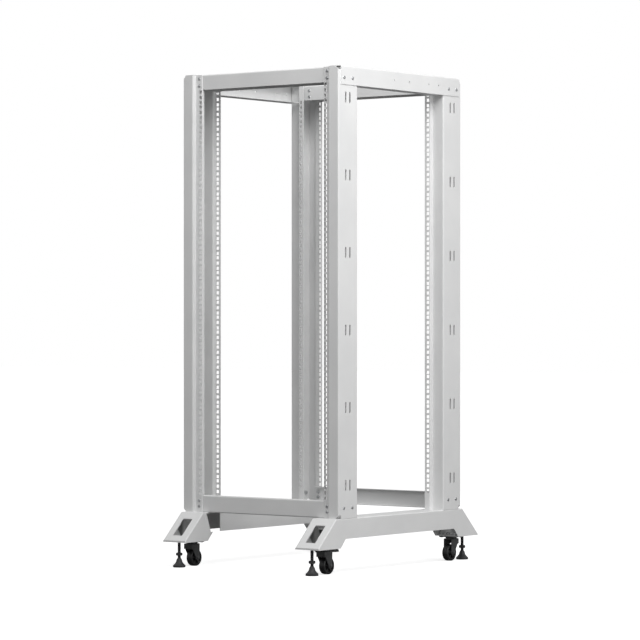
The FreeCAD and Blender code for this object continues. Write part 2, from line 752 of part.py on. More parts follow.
def castor_wheel(name, side, end):
    """A solid wheel with rounded edges and a hub that runs between the fork's legs."""
    body = new_body(name)
    axle_place = "%d * (Sizes.castor_length - Sizes.castor_trail)" % end
    place(body, "%d * %s" % (side, CASTOR_CENTRE), axle_place, AXLE_HEIGHT)
    half = "(Sizes.wheel_width / 2)"
    radius = "(Sizes.wheel_diameter / 2)"
    bore = "(Sizes.axle_diameter / 2 + Sizes.running_clearance)"
    hub = "(Sizes.hub_diameter / 2)"
    hub_half = "(%s - Sizes.hub_gap)" % FORK_HALF_GAP
    shoulder = "(%s - Sizes.wheel_round)" % radius
    flat = "(%s - Sizes.wheel_round)" % half
    side_shape = [(hub_half, bore), (hub_half, hub), (half, hub), (half, shoulder),
                  (flat, radius)]
    section = new_sketch(body, name + "_section", "XY_Plane")
    outline(section, side_shape + [("-1 * " + x, y) for x, y in reversed(side_shape)])
    turn = body.newObject("PartDesign::Revolution", name + "_turned")
    turn.Profile = section
    turn.ReferenceAxis = (origin_feature(body, "X_Axis"), [""])
    turn.Angle = FULL_TURN
    body.Tip = turn
    doc.recompute()
    return body


# Levelling feet
# A levelling foot is a flared pad, a hexagon to turn it by and a screw, all in one.

def levelling_foot(name, side, end):
    """The pad and screw turned in one section, with a hexagon on the neck."""
    body = new_body(name)
    place(body, "%d * %s" % (side, CASTOR_CENTRE), "%d * Sizes.foot_screw_length" % end, "0")
    rim = "Sizes.pad_diameter / 2"
    screw = "Sizes.screw_diameter / 2"
    section = new_sketch(body, name + "_section", "XZ_Plane")
    outline(section, [("0", "0"), (rim, "0"), (rim, "Sizes.pad_rim_height"),
                      ("Sizes.pad_flare_diameter / 2", "Sizes.pad_flare_height"),
                      ("Sizes.pad_waist_diameter / 2", "Sizes.pad_waist_height"),
                      ("Sizes.pad_shoulder_diameter / 2", "Sizes.pad_shoulder_height"),
                      (screw, "Sizes.pad_neck_height"), (screw, "Sizes.screw_top"),
                      ("0", "Sizes.screw_top")])
    turn = body.newObject("PartDesign::Revolution", name + "_turned")
    turn.Profile = section
    turn.ReferenceAxis = (origin_feature(body, "Z_Axis"), [""])
    turn.Angle = FULL_TURN
    body.Tip = turn
    doc.recompute()
    hexagon = body.newObject("PartDesign::AdditivePrism", name + "_hexagon")
    bound(hexagon, Circumradius="Sizes.hex_across_corners / 2", Height="Sizes.hex_height")
    hexagon.setExpression("Placement.Base.z", "Sizes.hex_bottom")
    body.Tip = hexagon
    doc.recompute()
    return body


# The whole rack
pieces = []
SIDES = (("left", -1), ("right", 1))
ENDS = (("front", -1), ("rear", 1))
for end_name, end in ENDS:
    pieces.append(top_beam("top_%s_beam" % end_name, end))
    pieces.append(lower_beam("lower_%s_beam" % end_name, end))
for side_name, side in SIDES:
    pieces.append(top_side_beam("top_%s_side_beam" % side_name, side))
    pieces.append(base_rail("%s_base_rail" % side_name, side))
for end_name, end in ENDS:
    for side_name, side in SIDES:
        corner_name = "%s_%s" % (end_name, side_name)
        pieces.append(post(corner_name + "_post", side, end))
        pieces.append(castor_plate(corner_name + "_castor_plate", side, end))
        pieces.append(castor_fork(corner_name + "_castor_fork", side, end))
        pieces.append(castor_axle(corner_name + "_castor_axle", side, end))
        pieces.append(castor_wheel(corner_name + "_castor_wheel", side, end))
        pieces.append(levelling_foot(corner_name + "_levelling_foot", side, end))

doc.recompute()
for item in doc.Objects:
    if "Invalid" in item.State or "Error" in item.State:
        raise RuntimeError("%s failed: %s" % (item.Name, item.State))
for piece in pieces:
    shape = piece.Shape
    if shape.isNull() or not shape.isValid() or len(shape.Solids) != 1:
        raise RuntimeError("%s is not one valid solid" % piece.Label)
os.makedirs("parts", exist_ok=True)
for piece in pieces:
    piece.Shape.exportStep("parts/%s.step" % piece.Label)
    low, high = piece.Shape.BoundBox.ZMin, piece.Shape.BoundBox.ZMax
    print("%-34s volume %9.0f z %7.1f to %7.1f" % (piece.Label, piece.Shape.Volume, low, high))
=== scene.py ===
import math

import bpy
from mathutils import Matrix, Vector


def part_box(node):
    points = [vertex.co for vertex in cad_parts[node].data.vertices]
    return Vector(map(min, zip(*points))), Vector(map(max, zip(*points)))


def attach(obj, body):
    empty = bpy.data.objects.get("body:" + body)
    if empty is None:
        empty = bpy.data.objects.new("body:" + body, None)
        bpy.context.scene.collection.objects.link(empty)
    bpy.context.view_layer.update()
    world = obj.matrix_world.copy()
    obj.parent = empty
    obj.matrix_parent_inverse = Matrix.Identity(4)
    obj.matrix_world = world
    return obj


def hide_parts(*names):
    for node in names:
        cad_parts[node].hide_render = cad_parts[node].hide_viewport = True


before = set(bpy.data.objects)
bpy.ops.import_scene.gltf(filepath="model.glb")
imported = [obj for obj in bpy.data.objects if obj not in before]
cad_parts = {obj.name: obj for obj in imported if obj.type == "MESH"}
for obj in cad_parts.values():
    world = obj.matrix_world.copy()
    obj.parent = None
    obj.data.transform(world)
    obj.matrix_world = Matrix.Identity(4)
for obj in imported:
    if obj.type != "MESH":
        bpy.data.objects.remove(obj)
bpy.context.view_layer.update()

# View
# The rack stands on a pale studio floor and is seen from the front right, from a
# little under its middle, as with a long lens. The camera is level.
CAMERA_PLACE = (5.3226, -6.9944, 0.710)
CAMERA_TURN = math.radians(37.33)
LENS = 165.1
SENSOR = 36.0
HORIZON_SHIFT = 0.0094
LEVEL = math.radians(90)
VIEW_LIMIT = 60.0

camera_data = bpy.data.cameras.new("product_camera")
camera_data.lens = LENS
camera_data.sensor_width = SENSOR
camera_data.shift_y = HORIZON_SHIFT
camera_data.clip_end = VIEW_LIMIT
camera = bpy.data.objects.new("product_camera", camera_data)
camera.location = CAMERA_PLACE
camera.rotation_euler = (LEVEL, 0, CAMERA_TURN)
bpy.context.scene.collection.objects.link(camera)
bpy.context.scene.camera = camera
bpy.context.scene.view_settings.view_transform = "Standard"

# Studio
# A pale dome and three soft lamps: a high one on the rack's right, which makes every face
# brighter towards the top, a low one on the same side and a weak one high in front. The
# floor looks white and gives little light back.
WHITE = (1, 1, 1, 1)
DOME_SEEN = 1.0
DOME_LIGHT = 0.5
LAMP_AIM = (0.0, 0.0, 1.1)
LAMPS = (("upper_right_softbox", (1.5, -0.8, 2.7), 1.2, 34.0),
         ("lower_right_softbox", (2.6, -0.2, 0.9), 1.6, 16.0),
         ("front_softbox", (0.6, -2.4, 2.4), 1.4, 10.0))
FLOOR_SIZE = 60.0
FLOOR_SEEN = (0.9, 0.9, 0.9, 1)
FLOOR_BOUNCE = (0.16, 0.16, 0.16, 1)
FLOOR_ROUGHNESS = 0.9
FLOOR_GLOSS = 0.1
FLOOR_GLOW = 0.6

dome = bpy.data.worlds.new("studio_dome")
dome.use_nodes = True
dome_nodes = dome.node_tree.nodes
dome_links = dome.node_tree.links
backdrop = dome_nodes["Background"]
backdrop.inputs["Color"].default_value = WHITE
ray = dome_nodes.new("ShaderNodeLightPath")
level = dome_nodes.new("ShaderNodeMapRange")
level.inputs["To Min"].default_value = DOME_LIGHT
level.inputs["To Max"].default_value = DOME_SEEN
dome_links.new(ray.outputs["Is Camera Ray"], level.inputs["Value"])
dome_links.new(level.outputs["Result"], backdrop.inputs["Strength"])
bpy.context.scene.world = dome

for name, place, size, power in LAMPS:
    lamp_data = bpy.data.lights.new(name, "AREA")
    lamp_data.shape = "SQUARE"
    lamp_data.size = size
    lamp_data.energy = power
    lamp = bpy.data.objects.new(name, lamp_data)
    lamp.location = place
    aim = Vector(LAMP_AIM) - Vector(place)
    lamp.rotation_euler = aim.to_track_quat("-Z", "Y").to_euler()
    bpy.context.scene.collection.objects.link(lamp)

bpy.ops.object.select_all(action="DESELECT")
bpy.ops.mesh.primitive_plane_add(size=FLOOR_SIZE, location=(0, 0, 0))
floor = bpy.context.object
floor.name = "studio_floor"
floor_paint = bpy.data.materials.new("studio_floor_paint")
floor_paint.use_nodes = True
floor_nodes = floor_paint.node_tree.nodes
floor_links = floor_paint.node_tree.links
pale = floor_nodes["Principled BSDF"]
pale.inputs["Base Color"].default_value = FLOOR_SEEN
pale.inputs["Roughness"].default_value = FLOOR_ROUGHNESS
pale.inputs["Specular IOR Level"].default_value = FLOOR_GLOSS
pale.inputs["Emission Color"].default_value = WHITE
pale.inputs["Emission Strength"].default_value = FLOOR_GLOW
dull = floor_nodes.new("ShaderNodeBsdfDiffuse")
dull.inputs["Color"].default_value = FLOOR_BOUNCE
floor_ray = floor_nodes.new("ShaderNodeLightPath")
floor_mix = floor_nodes.new("ShaderNodeMixShader")
_, seen_by_light, seen_by_camera = floor_mix.inputs
floor_links.new(floor_ray.outputs["Is Camera Ray"], floor_mix.inputs["Fac"])
floor_links.new(dull.outputs["BSDF"], seen_by_light)
floor_links.new(pale.outputs["BSDF"], seen_by_camera)
floor_links.new(floor_mix.outputs["Shader"], floor_nodes["Material Output"].inputs["Surface"])
floor.data.materials.append(floor_paint)

# Posts
# The four posts are folded from two millimetre steel sheet, punched with square
# holes and tie slots before folding, and powder coated light grey all over.
CORNERS = {"front_left": (-1, -1), "front_right": (1, -1),
           "rear_left": (-1, 1), "rear_right": (1, 1)}
CLOUD_DETAIL = 3.0
GRAIN_DETAIL = 1.0
SHADE_BAND = (0.35, 0.65)
SHEEN_BAND = (0.3, 0.7)
PEBBLE_STRENGTH = 0.35


def make_grain_group():
    """Surface grain: a slow clouding of the colour and the fine pebbles of a coating."""
    group = bpy.data.node_groups.new("coating_grain", "ShaderNodeTree")
    face = group.interface
    for name, way in (("Cloud Scale", "INPUT"), ("Grain Scale", "INPUT"), ("Cloud", "OUTPUT"),
                      ("Grain", "OUTPUT")):
        face.new_socket(name, in_out=way, socket_type="NodeSocketFloat")
    nodes = group.nodes
    links = group.links
    entry = nodes.new("NodeGroupInput")
    result = nodes.new("NodeGroupOutput")
    place = nodes.new("ShaderNodeTexCoord")
    cloud = nodes.new("ShaderNodeTexNoise")
    cloud.inputs["Detail"].default_value = CLOUD_DETAIL
    grain = nodes.new("ShaderNodeTexNoise")
    grain.inputs["Detail"].default_value = GRAIN_DETAIL
    for texture, scale in ((cloud, "Cloud Scale"), (grain, "Grain Scale")):
        links.new(place.outputs["Object"], texture.inputs["Vector"])
        links.new(entry.outputs[scale], texture.inputs["Scale"])
    links.new(cloud.outputs["Fac"], result.inputs["Cloud"])
    links.new(grain.outputs["Fac"], result.inputs["Grain"])
    return group


grain_group = make_grain_group()


def coated_material(name, light, dark, rough, scales, depth, metal=0.0):
    """A coated or moulded surface: two close shades, a roughness that varies, fine grain."""
    material = bpy.data.materials.new(name)
    material.use_nodes = True
    nodes = material.node_tree.nodes
    links = material.node_tree.links
    shader = nodes["Principled BSDF"]
    shader.inputs["Metallic"].default_value = metal
    grain = nodes.new("ShaderNodeGroup")
    grain.node_tree = grain_group
    grain.inputs["Cloud Scale"].default_value = scales[0]
    grain.inputs["Grain Scale"].default_value = scales[1]
    shade = nodes.new("ShaderNodeValToRGB")
    shade.name = "two_shades"
    for stop, position, colour in zip(shade.color_ramp.elements, SHADE_BAND, (dark, light)):
        stop.position = position
        stop.color = colour
    sheen = nodes.new("ShaderNodeMapRange")
    sheen.inputs["From Min"].default_value = SHEEN_BAND[0]
    sheen.inputs["From Max"].default_value = SHEEN_BAND[1]
    sheen.inputs["To Min"].default_value = rough[0]
    sheen.inputs["To Max"].default_value = rough[1]
    pebbles = nodes.new("ShaderNodeBump")
    pebbles.inputs["Strength"].default_value = PEBBLE_STRENGTH
    pebbles.inputs["Distance"].default_value = depth
    links.new(grain.outputs["Cloud"], shade.inputs["Fac"])
    links.new(shade.outputs["Color"], shader.inputs["Base Color"])
    links.new(grain.outputs["Cloud"], sheen.inputs["Value"])
    links.new(sheen.outputs["Result"], shader.inputs["Roughness"])
    links.new(grain.outputs["Grain"], pebbles.inputs["Height"])
    links.new(pebbles.outputs["Normal"], shader.inputs["Normal"])
    return material


def powder_coat(name):
    """The frame's light grey coating."""
    return coated_material(name, light=(0.80, 0.802, 0.80, 1), dark=(0.765, 0.768, 0.768, 1),
                           rough=(0.42, 0.52), scales=(9.0, 1500.0), depth=0.00004)


def paint_node(node, material):
    """Give a carried-over solid its finish."""
    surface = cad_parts[node].data
    surface.materials.clear()
    surface.materials.append(material)


frame_coat = powder_coat("light_grey_powder_coat")
for corner in CORNERS:
    paint_node(corner + "_post", frame_coat)

# Cross beams and side beams
# Six folded channels join the posts. They have the same coating as the posts.
for beam in ("top_front_beam", "top_rear_beam", "top_left_side_beam", "top_right_side_beam",
             "lower_front_beam", "lower_rear_beam"):
    paint_node(beam, frame_coat)

# Base rails
# Each is one folded sheet with sloped feet, coated like the rest of the frame. Shade is
# painted into the feet: their insides, behind their windows, are coloured dark grey, all but
# a lower corner near the slope, where light falls in through the window.
# The dark grey painted as shade inside the feet.
FOOT_SHADE_GREY = (0.22, 0.222, 0.224, 1)
SHEET_SKIN = 0.0012
SLOPE_SKIN = 0.0017
LIP_HEIGHT = 0.005
FOOT_CREST = 0.317
FOOT_DEPTH = (0.306, 0.318)
# Painted shade starts above a line that rises towards the foot's tip; under it the coat keeps its
# colour.
SHADE_LINE = (0.080, 0.088)
SHADE_SLANT = 1.42


def reach(node, way):
    """How far a carried-over solid reaches towards +X, -X and so on, to the micrometre."""
    low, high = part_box(node)
    side = high if way[0] == "+" else low
    return round(side["XYZ".index(way[1])], 6)


FOOT_TOP = reach("rear_right_post", "-Z")
FOOT_SOLE = reach("right_base_rail", "-Z")
FOOT_TIP = reach("right_base_rail", "+Y")
FOOT_LIP = FOOT_SOLE + LIP_HEIGHT
FOOT_SLOPE = (FOOT_TOP - FOOT_LIP) / (FOOT_TIP - FOOT_CREST)


def coat_with_painted_shade(rail):
    """The frame's coating, with shade painted dark grey where all parts of a mask meet: deep in
    the two feet of a base rail, between its walls, under its top, over its sole, behind its
    slope and above a slanted line, under which light falls in through the window."""
    low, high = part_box(rail)
    centre = (low[0] + high[0]) / 2
    half = (high[0] - low[0]) / 2 - SHEET_SKIN
    material = powder_coat(rail + "_powder_coat")
    nodes = material.node_tree.nodes
    links = material.node_tree.links
    place = nodes.new("ShaderNodeTexCoord")
    split = nodes.new("ShaderNodeSeparateXYZ")
    links.new(place.outputs["Object"], split.inputs["Vector"])

    def work_out(operation, first, second=None):
        """One arithmetic step on the place of a point of the surface."""
        step = nodes.new("ShaderNodeMath")
        step.operation = operation
        for number, entry in enumerate((first, second)):
            if isinstance(entry, (int, float)):
                step.inputs[number].default_value = entry
            elif entry is not None:
                links.new(entry, step.inputs[number])
        return step.outputs["Value"]

    def ramp(entry, start, stop):
        """Nought up to the start, one from the stop."""
        step = nodes.new("ShaderNodeMapRange")
        step.inputs["From Min"].default_value = start
        step.inputs["From Max"].default_value = stop
        links.new(entry, step.inputs["Value"])
        return step.outputs["Result"]

    length = work_out("ABSOLUTE", split.outputs["Y"])
    aside = work_out("ABSOLUTE", work_out("SUBTRACT", split.outputs["X"], centre))
    between_walls = work_out("LESS_THAN", aside, half)
    under_top = work_out("LESS_THAN", split.outputs["Z"], FOOT_TOP - SHEET_SKIN)
    over_sole = work_out("GREATER_THAN", split.outputs["Z"], FOOT_SOLE + SHEET_SKIN)
    slope_height = work_out("MULTIPLY", work_out("SUBTRACT", FOOT_TIP, length), FOOT_SLOPE)
    slope_inside = work_out("ADD", slope_height, FOOT_LIP - SLOPE_SKIN)
    behind_slope = work_out("LESS_THAN", split.outputs["Z"], slope_inside)
    lean = work_out("MULTIPLY", work_out("SUBTRACT", length, FOOT_DEPTH[1]), -SHADE_SLANT)
    # Painted shade fades in over the slanted line; the lit lower corner below it stays light.
    in_shade = ramp(work_out("ADD", split.outputs["Z"], lean), SHADE_LINE[0], SHADE_LINE[1])
    deep = ramp(length, FOOT_DEPTH[0], FOOT_DEPTH[1])
    mask = deep
    for part in (between_walls, under_top, over_sole, behind_slope, in_shade):
        mask = work_out("MULTIPLY", mask, part)
    # Mix the painted shade into the coating's colour where the mask is one.
    painted_shade_mix = nodes.new("ShaderNodeMix")
    painted_shade_mix.data_type = "RGBA"
    painted_shade_mix.inputs["B"].default_value = FOOT_SHADE_GREY
    links.new(mask, painted_shade_mix.inputs["Factor"])
    links.new(nodes["two_shades"].outputs["Color"], painted_shade_mix.inputs["A"])
    links.new(painted_shade_mix.outputs["Result"], nodes["Principled BSDF"].inputs["Base Color"])
    return material


# Both base rails get painted shade inside their feet.
for rail in ("left_base_rail", "right_base_rail"):
    paint_node(rail, coat_with_painted_shade(rail))

# Frame screws and nuts
# Zinc plated button head screws with a hexagon socket hold the frame together, two at
# each joint, with a hexagon nut behind each.
SCREW_RADIUS = 0.0052
SCREW_HEIGHT = 0.002
DOME_FIRST = math.radians(12)
DOME_STEP = math.radians(13)
DOME_POINTS = 6
SOCKET_RADIUS = 0.0024
SOCKET_DEPTH = 0.0013
NUT_RADIUS = 0.0058
NUT_HEIGHT = 0.005
BOLT_RADIUS = 0.003
BOLT_EDGE = 0.0008
BOLT_REACH = 0.0013
TIP_SHARE = 0.8
SHEET = 0.002
TAB_SHEET = 0.003
RAIL_SETBACK = 0.0126
WEB_FACE = reach("rear_right_post", "+X")
TAB_BACK = WEB_FACE - SHEET - TAB_SHEET
SIDE_BEAM_FACE = reach("top_right_side_beam", "+X")
RAIL_FACE = reach("rear_right_post", "+Y") - RAIL_SETBACK
BEAM_BACK_FACE = reach("top_rear_beam", "-Y")
WEB_SCREW_LENGTHS = (0.281, 0.241)
WEB_SCREW_LOW = 0.1895
WEB_SCREW_HIGH = 1.421
RAIL_SCREW_SIDE = 0.238
RAIL_SCREW_HEIGHTS = (0.176, 0.193, 1.421, 1.442)
BEAM_SCREW_SIDE = 0.218
BEAM_SCREW_HEIGHTS = (1.420, 1.439)
SMOOTH_ANGLE = math.radians(35)
MERGE_DISTANCE = 0.000002
SEED_SIZE = 0.001
HEX_HALF_ANGLE = math.radians(30)
CHAMFER_START = 0.97
CHAMFER_REACH = 1.02
CHAMFER_DROP = 1.3
COARSE_ROUND = 16
ROUND = 24
FINE_ROUND = 48

screw_zinc = coated_material("zinc_plated_steel", light=(0.62, 0.63, 0.64, 1),
                             dark=(0.5, 0.51, 0.52, 1), rough=(0.28, 0.42),
                             scales=(160.0, 2500.0), depth=0.00002, metal=1.0)


def select_only(*pieces):
    """Select these pieces alone, with the first of them active."""
    bpy.ops.object.select_all(action="DESELECT")
    for piece in pieces:
        piece.select_set(True)
    bpy.context.view_layer.objects.active = pieces[0]


def edit_all(piece):
    """Enter edit mode on a piece with all of its mesh selected."""
    bpy.context.view_layer.objects.active = piece
    bpy.ops.object.mode_set(mode="EDIT")
    bpy.ops.mesh.select_all(action="SELECT")


def new_piece(name, add, **place):
    """A new piece from a primitive, alone in the selection."""
    bpy.ops.object.select_all(action="DESELECT")
    add(**place)
    piece = bpy.context.object
    piece.name = name
    piece.data.name = name
    bpy.ops.object.transform_apply(location=True, rotation=True, scale=True)
    return piece


def use_modifier(piece, kind, **settings):
    """Add a modifier and apply it."""
    select_only(piece)
    modifier = piece.modifiers.new(kind.lower(), kind)
    for name, setting in settings.items():
        setattr(modifier, name, setting)
    bpy.ops.object.modifier_apply(modifier=modifier.name)


def close_mesh(piece):
    """Merge doubled points, such as a spun mesh's seam and poles, and turn faces outwards."""
    edit_all(piece)
    bpy.ops.mesh.remove_doubles(threshold=MERGE_DISTANCE)
    bpy.ops.mesh.normals_make_consistent(inside=False)
    bpy.ops.object.mode_set(mode="OBJECT")


def chain(name, points):
    """A chain of edges in the XZ plane, extruded point by point from one vertex."""
    spots = [Vector((radius, 0, along)) for radius, along in points]
    piece = new_piece(name, bpy.ops.mesh.primitive_plane_add, size=SEED_SIZE,
                      location=spots[0])
    edit_all(piece)
    bpy.ops.mesh.select_mode(type="VERT")
    bpy.ops.mesh.merge(type="CENTER")
    for before, after in zip(spots, spots[1:]):
        bpy.ops.mesh.extrude_region_move(TRANSFORM_OT_translate={"value": after - before})
    bpy.ops.object.mode_set(mode="OBJECT")
    return piece


def turned(name, points, steps):
    """A piece turned about the Z axis, from its outline as pairs of radius and height."""
    piece = chain(name, points)
    edit_all(piece)
    bpy.ops.mesh.spin(steps=steps, angle=math.tau, center=(0, 0, 0), axis=(0, 0, 1))
    bpy.ops.object.mode_set(mode="OBJECT")
    close_mesh(piece)
    return piece


def join_pieces(name, pieces):
    """Several meshes as one piece."""
    select_only(*pieces)
    bpy.ops.object.join()
    pieces[0].name = name
    return pieces[0]


def combine(piece, tool, way):
    """Add a second mesh to a piece, cut it out of it or keep what they share."""
    use_modifier(piece, "BOOLEAN", operation=way, object=tool, solver="EXACT")
    bpy.data.objects.remove(tool)
    return piece


def hexagon(name, radius, low, high):
    """A hexagon prism with both of its ends chamfered all round, as on a nut."""
    middle = (low + high) / 2
    prism = new_piece(name, bpy.ops.mesh.primitive_cylinder_add, vertices=6, radius=radius,
                      depth=high - low, location=(0, 0, middle))
    flat = radius * math.cos(HEX_HALF_ANGLE)
    drop = (radius - flat) * math.tan(HEX_HALF_ANGLE) * CHAMFER_DROP
    inner, outer = flat * CHAMFER_START, radius * CHAMFER_REACH
    outline = [(0, low), (inner, low), (outer, low + drop), (outer, high - drop), (inner, high),
               (0, high)]
    return combine(prism, turned(name + "_chamfers", outline, FINE_ROUND), "INTERSECT")


def make_screw_head():
    """A domed head with a hexagon socket, standing on the XY plane."""
    dome = [(0, 0), (SCREW_RADIUS, 0)]
    for number in range(DOME_POINTS):
        angle = DOME_FIRST + DOME_STEP * number
        dome.append((SCREW_RADIUS * math.cos(angle), SCREW_HEIGHT * math.sin(angle)))
    dome.append((0, SCREW_HEIGHT))
    head = turned("screw_head_pattern", dome, ROUND)
    socket = new_piece("socket", bpy.ops.mesh.primitive_cylinder_add, vertices=6,
                       radius=SOCKET_RADIUS, depth=2 * SOCKET_DEPTH,
                       location=(0, 0, SCREW_HEIGHT))
    return combine(head, socket, "DIFFERENCE")


def make_nut():
    """A hexagon nut on the end of its screw, standing on the XY plane."""
    nut = hexagon("nut_pattern", NUT_RADIUS, 0, NUT_HEIGHT)
    outline = [(0, NUT_HEIGHT / 2), (BOLT_RADIUS, NUT_HEIGHT / 2),
               (BOLT_RADIUS, NUT_HEIGHT + BOLT_EDGE),
               (BOLT_RADIUS * TIP_SHARE, NUT_HEIGHT + BOLT_REACH), (0, NUT_HEIGHT + BOLT_REACH)]
    return combine(nut, turned("screw_end", outline, COARSE_ROUND), "UNION")


def copy_of(pattern, name):
    """A copy of a pattern with a mesh of its own."""
    copy = bpy.data.objects.new(name, pattern.data.copy())
    bpy.context.scene.collection.objects.link(copy)
    return copy


def placed_copy(pattern, name, place, facing=(0, 0, 1)):
    """A copy of a pattern in its place, with its Z axis turned to face a direction."""
    copy = copy_of(pattern, name)
    copy.rotation_euler = Vector(facing).to_track_quat("Z", "Y").to_euler()
    copy.location = place
    return copy


def settle(piece, material, body, stands_for=None):
    """Put the piece's place into its mesh, give it its finish and smooth shading, fix it to its
    body and hide the solid that it stands for.
    """
    select_only(piece)
    bpy.ops.object.transform_apply(location=True, rotation=True, scale=True)
    piece.data.materials.clear()
    piece.data.materials.append(material)
    bpy.ops.object.shade_smooth_by_angle(angle=SMOOTH_ANGLE)
    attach(piece, body)
    if stands_for:
        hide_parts(stands_for)


screw_pattern = make_screw_head()
nut_pattern = make_nut()
for corner, (side, end) in CORNERS.items():
    outwards, inwards = (side, 0, 0), (-side, 0, 0)
    heads, nuts = [], []
    for length in WEB_SCREW_LENGTHS:
        heads.append(((side * WEB_FACE, end * length, WEB_SCREW_LOW), outwards))
        nuts.append(((side * TAB_BACK, end * length, WEB_SCREW_LOW), inwards))
        heads.append(((side * SIDE_BEAM_FACE, end * length, WEB_SCREW_HIGH), outwards))
        nuts.append(((side * (WEB_FACE - SHEET), end * length, WEB_SCREW_HIGH), inwards))
    for height in RAIL_SCREW_HEIGHTS:
        heads.append(((side * RAIL_SCREW_SIDE, end * RAIL_FACE, height), (0, end, 0)))
        nuts.append(((side * RAIL_SCREW_SIDE, end * (RAIL_FACE - 2 * SHEET), height),
                     (0, -end, 0)))
    for height in BEAM_SCREW_HEIGHTS:
        heads.append(((side * BEAM_SCREW_SIDE, end * BEAM_BACK_FACE, height), (0, -end, 0)))
        nuts.append(((side * BEAM_SCREW_SIDE, end * (BEAM_BACK_FACE + SHEET), height),
                     (0, end, 0)))
    for name, pattern, places in ((corner + "_screws", screw_pattern, heads),
                                  (corner + "_nuts", nut_pattern, nuts)):
        copies = [placed_copy(pattern, name, *spot) for spot in places]
        settle(join_pieces(name, copies), screw_zinc, "frame")

# Castor plates
# A pressed plate with softened edges carries the ball race. Four button head screws hold
# it under the foot, with nuts on the foot's floor. It is painted black.
PRESSED_EDGE = 0.0004
PLATE_EDGE_ANGLE = math.radians(40)
FLAT_ANGLE = math.radians(1)
PLATE_SHEET = 0.003
PLATE_SCREW_SIDE = 0.0235
PLATE_SCREW_LENGTH = 0.0165
BASE_SHEET = 0.0025
FOOT_FLOOR = FOOT_SOLE + BASE_SHEET

castor_black = coated_material("castor_black", light=(0.075, 0.076, 0.078, 1),
                               dark=(0.058, 0.059, 0.06, 1), rough=(0.3, 0.45),
                               scales=(60.0, 2200.0), depth=0.00003)


def softened(name, node, width, angle):
    """A copy of a carried-over solid with the edges sharper than an angle rounded."""
    piece = copy_of(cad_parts[node], name)
    select_only(piece)
    edit_all(piece)
    bpy.ops.mesh.remove_doubles(threshold=MERGE_DISTANCE)
    bpy.ops.mesh.dissolve_limited(angle_limit=FLAT_ANGLE)
    bpy.ops.object.mode_set(mode="OBJECT")
    use_modifier(piece, "BEVEL", width=width, segments=2, limit_method="ANGLE",
                 angle_limit=angle)
    close_mesh(piece)
    return piece


def centre_of(node):
    """The middle of a carried-over solid's box."""
    low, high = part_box(node)
    return (low + high) / 2


for corner in CORNERS:
    node = corner + "_castor_plate"
    centre = centre_of(node)
    sheet_low = reach(node, "+Z") - PLATE_SHEET
    plate = softened(node + "_pressing", node, PRESSED_EDGE, PLATE_EDGE_ANGLE)
    settle(plate, castor_black, "frame", node)
    heads, nuts = [], []
    for across in (-PLATE_SCREW_SIDE, PLATE_SCREW_SIDE):
        for along in (-PLATE_SCREW_LENGTH, PLATE_SCREW_LENGTH):
            spot = (centre.x + across, centre.y + along)
            heads.append(((*spot, sheet_low), (0, 0, -1)))
            nuts.append(((*spot, FOOT_FLOOR), (0, 0, 1)))
    copies = [placed_copy(screw_pattern, "head", *spot) for spot in heads]
    copies += [placed_copy(nut_pattern, "nut", *spot) for spot in nuts]
    settle(join_pieces(corner + "_castor_screws", copies), screw_zinc, "frame")

# Castor forks and axles
# The fork is pressed from one steel sheet and painted black. A hexagon bolt with washers
# and a nut is the wheel's axle.
FORK_EDGE_ANGLE = math.radians(30)
AXLE_RADIUS = 0.003
AXLE_HEX_RADIUS = 0.0055
AXLE_TIP = 0.0004
AXLE_CHAMFER = 0.0002
WASHER_RADIUS = 0.0052
WASHER_HEIGHT = 0.0006


def half_width(node):
    """Half the size of a carried-over solid across the rack."""
    return (reach(node, "+X") - reach(node, "-X")) / 2


FORK_SIDE = half_width("rear_right_castor_fork")
AXLE_END = half_width("rear_right_castor_axle")


def disc(name, radius, low, high):
    """A plain round disc or pin along Z."""
    return turned(name, [(0, low), (radius, low), (radius, high), (0, high)], ROUND)


def make_axle():
    """An axle bolt along Z with its head and its nut, each on a washer."""
    pieces = [disc("shank", AXLE_RADIUS, -FORK_SIDE, FORK_SIDE)]
    washer_side = FORK_SIDE + WASHER_HEIGHT
    for way in (-1, 1):
        pieces.append(disc("washer", WASHER_RADIUS, *sorted((way * FORK_SIDE, way * washer_side))))
        ends = sorted((way * washer_side, way * (AXLE_END - AXLE_TIP)))
        pieces.append(hexagon("hexagon", AXLE_HEX_RADIUS, *ends))
    root = AXLE_END - 2 * AXLE_TIP
    tip = [(0, root), (AXLE_RADIUS, root), (AXLE_RADIUS, AXLE_END - AXLE_CHAMFER),
           (AXLE_RADIUS * TIP_SHARE, AXLE_END), (0, AXLE_END)]
    pieces.append(turned("tip", tip, ROUND))
    return join_pieces("axle_pattern", pieces)


axle_pattern = make_axle()
for corner, (side, _) in CORNERS.items():
    node = corner + "_castor_fork"
    fork = softened(node + "_pressing", node, PRESSED_EDGE, FORK_EDGE_ANGLE)
    settle(fork, castor_black, corner + "_castor", node)
    node = corner + "_castor_axle"
    axle = placed_copy(axle_pattern, node + "_bolt", centre_of(node), (side, 0, 0))
    settle(axle, castor_black, corner + "_castor", node)

# Castor wheels
# A moulded nylon wheel has a rounded tread, a recessed web with six ribs on each side and
# a long hub that runs on the axle.
WHEEL_RADIUS = 0.025
WHEEL_HALF = 0.010
WHEEL_EDGE = 0.0006
WHEEL_ROUND = 64
HUB_RADIUS = 0.009
HUB_HALF = half_width("rear_right_castor_wheel")
BORE_RADIUS = 0.00305
RIM_INSIDE = 0.0188
WEB_HALF = 0.0035
WEB_FILLET = 0.001
TREAD_ROUND = 0.003
TREAD_STEPS = 4
RIB_COUNT = 6
RIB_WIDTH = 0.0022
RIB_HALF = 0.0082
RIB_ROOT = 0.0005
RIB_EDGE = 0.0003

wheel_nylon = coated_material("wheel_nylon", light=(0.022, 0.022, 0.023, 1),
                              dark=(0.015, 0.015, 0.016, 1), rough=(0.28, 0.42),
                              scales=(80.0, 2600.0), depth=0.00003)


